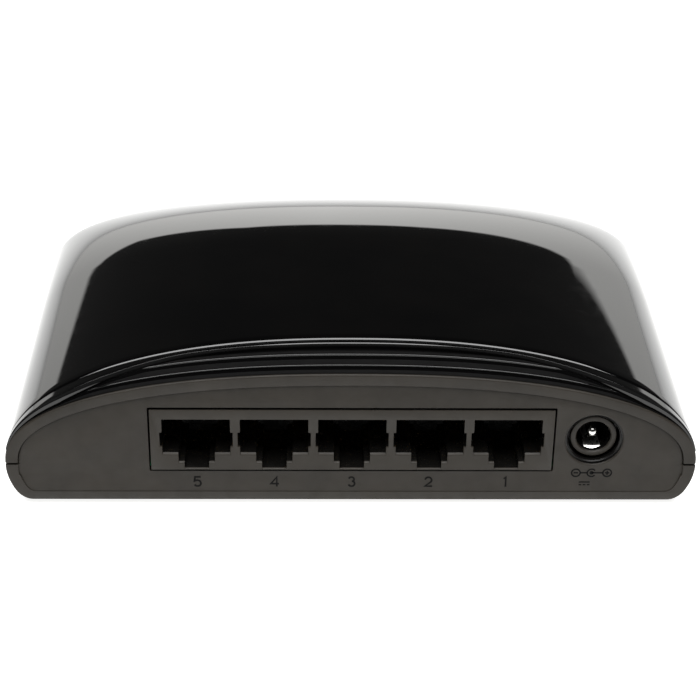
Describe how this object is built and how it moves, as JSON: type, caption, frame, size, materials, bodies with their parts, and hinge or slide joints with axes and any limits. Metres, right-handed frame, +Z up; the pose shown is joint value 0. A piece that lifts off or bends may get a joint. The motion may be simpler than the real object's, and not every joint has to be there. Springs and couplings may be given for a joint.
{
  "type": "desktop network switch",
  "caption": "Desktop network switch: domed gloss cover on a matte case, rear network ports and a round power inlet, with board, ports and spring contacts inside.",
  "frame": {"origin": "on the ground under the middle of the case, at the bottom of the rubber feet", "axes": "+Z up, +Y towards the rear panel with the ports, +X towards the highest-numbered port"},
  "size_m": [0.1248, 0.09, 0.031],
  "materials": {
    "gloss_black": "high gloss moulded black",
    "matte_black": "fine spark-eroded texture, warm black",
    "port_black": "smooth satin black",
    "smoked_window": "clear dark grey, polished",
    "clear_light_pipe": "clear polycarbonate",
    "plated_steel": "zinc plated",
    "foot_rubber": "matte black rubber",
    "board_laminate": "green solder mask",
    "insert_ivory": "moulded ivory",
    "gold_contact": "gold plated",
    "nickel": "bright nickel plate",
    "chip_black": "epoxy package",
    "can_steel": "drawn steel can",
    "cap_sleeve": "heat-shrunk sleeve",
    "ferrite": "sintered ferrite",
    "resistor_black": "glazed chip",
    "capacitor_tan": "fired ceramic",
    "led_lens": "clear epoxy"
  },
  "bodies": {
    "case": {"top_cover": "gloss_black", "upper_frame": "matte_black", "base_case": "matte_black", "led_window": "smoked_window", "light_pipes": "clear_light_pipe", "case_screws": "plated_steel", "board_screws": "plated_steel", "rubber_feet": "foot_rubber", "circuit_board": "board_laminate", "port_housing": "port_black", "contact_inserts": "insert_ivory", "contact_frames": "gold_contact", "jack_housing": "port_black", "jack_pin": "nickel", "jack_terminal": "nickel", "switch_chip": "chip_black", "isolation_modules": "chip_black", "crystal": "can_steel", "electrolytic_caps": "cap_sleeve", "power_inductor": "ferrite", "voltage_regulator": "chip_black", "chip_resistors": "resistor_black", "chip_capacitors": "capacitor_tan", "status_leds": "led_lens"},
    "port_1_springs": {"port_1_contacts": "gold_contact"},
    "port_2_springs": {"port_2_contacts": "gold_contact"},
    "port_3_springs": {"port_3_contacts": "gold_contact"},
    "port_4_springs": {"port_4_contacts": "gold_contact"},
    "port_5_springs": {"port_5_contacts": "gold_contact"},
    "jack_leaf": {"jack_spring": "nickel"}
  },
  "joints": [
    {"name": "port_1_contact_flex", "type": "hinge", "parent": "case", "child": "port_1_springs", "pos_m": [-0.02794, 0.041, 0.01855], "axis": [-1, 0, 0], "range_deg": [0, 12], "stiffness_Nm_per_rad": 0.02},
    {"name": "port_2_contact_flex", "type": "hinge", "parent": "case", "child": "port_2_springs", "pos_m": [-0.01397, 0.041, 0.01855], "axis": [-1, 0, 0], "range_deg": [0, 12], "stiffness_Nm_per_rad": 0.02},
    {"name": "port_3_contact_flex", "type": "hinge", "parent": "case", "child": "port_3_springs", "pos_m": [0, 0.041, 0.01855], "axis": [-1, 0, 0], "range_deg": [0, 12], "stiffness_Nm_per_rad": 0.02},
    {"name": "port_4_contact_flex", "type": "hinge", "parent": "case", "child": "port_4_springs", "pos_m": [0.01397, 0.041, 0.01855], "axis": [-1, 0, 0], "range_deg": [0, 12], "stiffness_Nm_per_rad": 0.02},
    {"name": "port_5_contact_flex", "type": "hinge", "parent": "case", "child": "port_5_springs", "pos_m": [0.02794, 0.041, 0.01855], "axis": [-1, 0, 0], "range_deg": [0, 12], "stiffness_Nm_per_rad": 0.02},
    {"name": "jack_leaf_flex", "type": "hinge", "parent": "case", "child": "jack_leaf", "pos_m": [-0.0436, 0.0331, 0.011], "axis": [-1, 0, 0], "range_deg": [0, 5], "stiffness_Nm_per_rad": 0.02}
  ]
}
